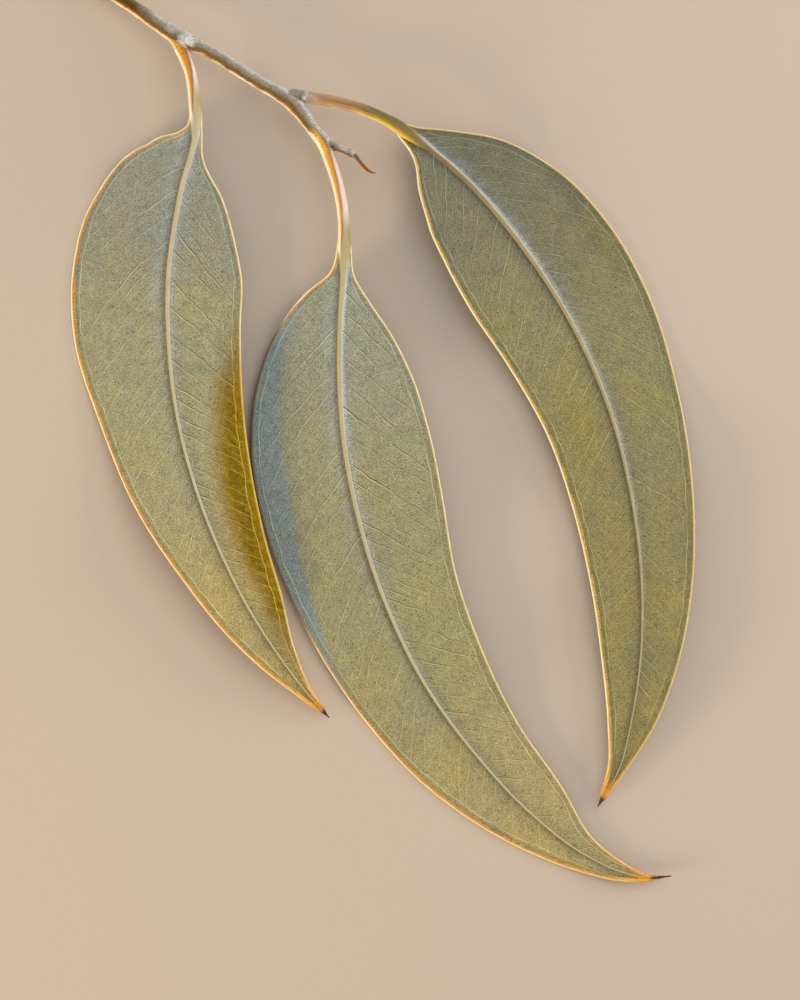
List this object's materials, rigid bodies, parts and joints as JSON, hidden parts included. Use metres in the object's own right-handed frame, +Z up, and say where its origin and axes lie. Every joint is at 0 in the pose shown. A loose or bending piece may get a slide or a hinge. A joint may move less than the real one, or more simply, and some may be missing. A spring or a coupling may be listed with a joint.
{
  "type": "eucalyptus branch",
  "caption": "Cut eucalyptus twig lying flat, with long sickle-shaped leaves on short stalks and a small dried shoot tip.",
  "frame": {"origin": "the middle of the bottom of the box round the whole branch, on the table that it lies on", "axes": "+Z up from the table, +Y along the branch's longest extent towards the cut end, +X to the right as seen from above"},
  "size_m": [0.125, 0.1846, 0.009],
  "materials": {
    "leaf": "satin",
    "leaf_rib": "satin",
    "bark": "matte",
    "dry_tip": "matte"
  },
  "bodies": {
    "root": {"leaf_left": "leaf", "leaf_middle": "leaf", "leaf_right": "leaf", "twig": "bark", "shoot_tip": "dry_tip"}
  },
  "joints": []
}
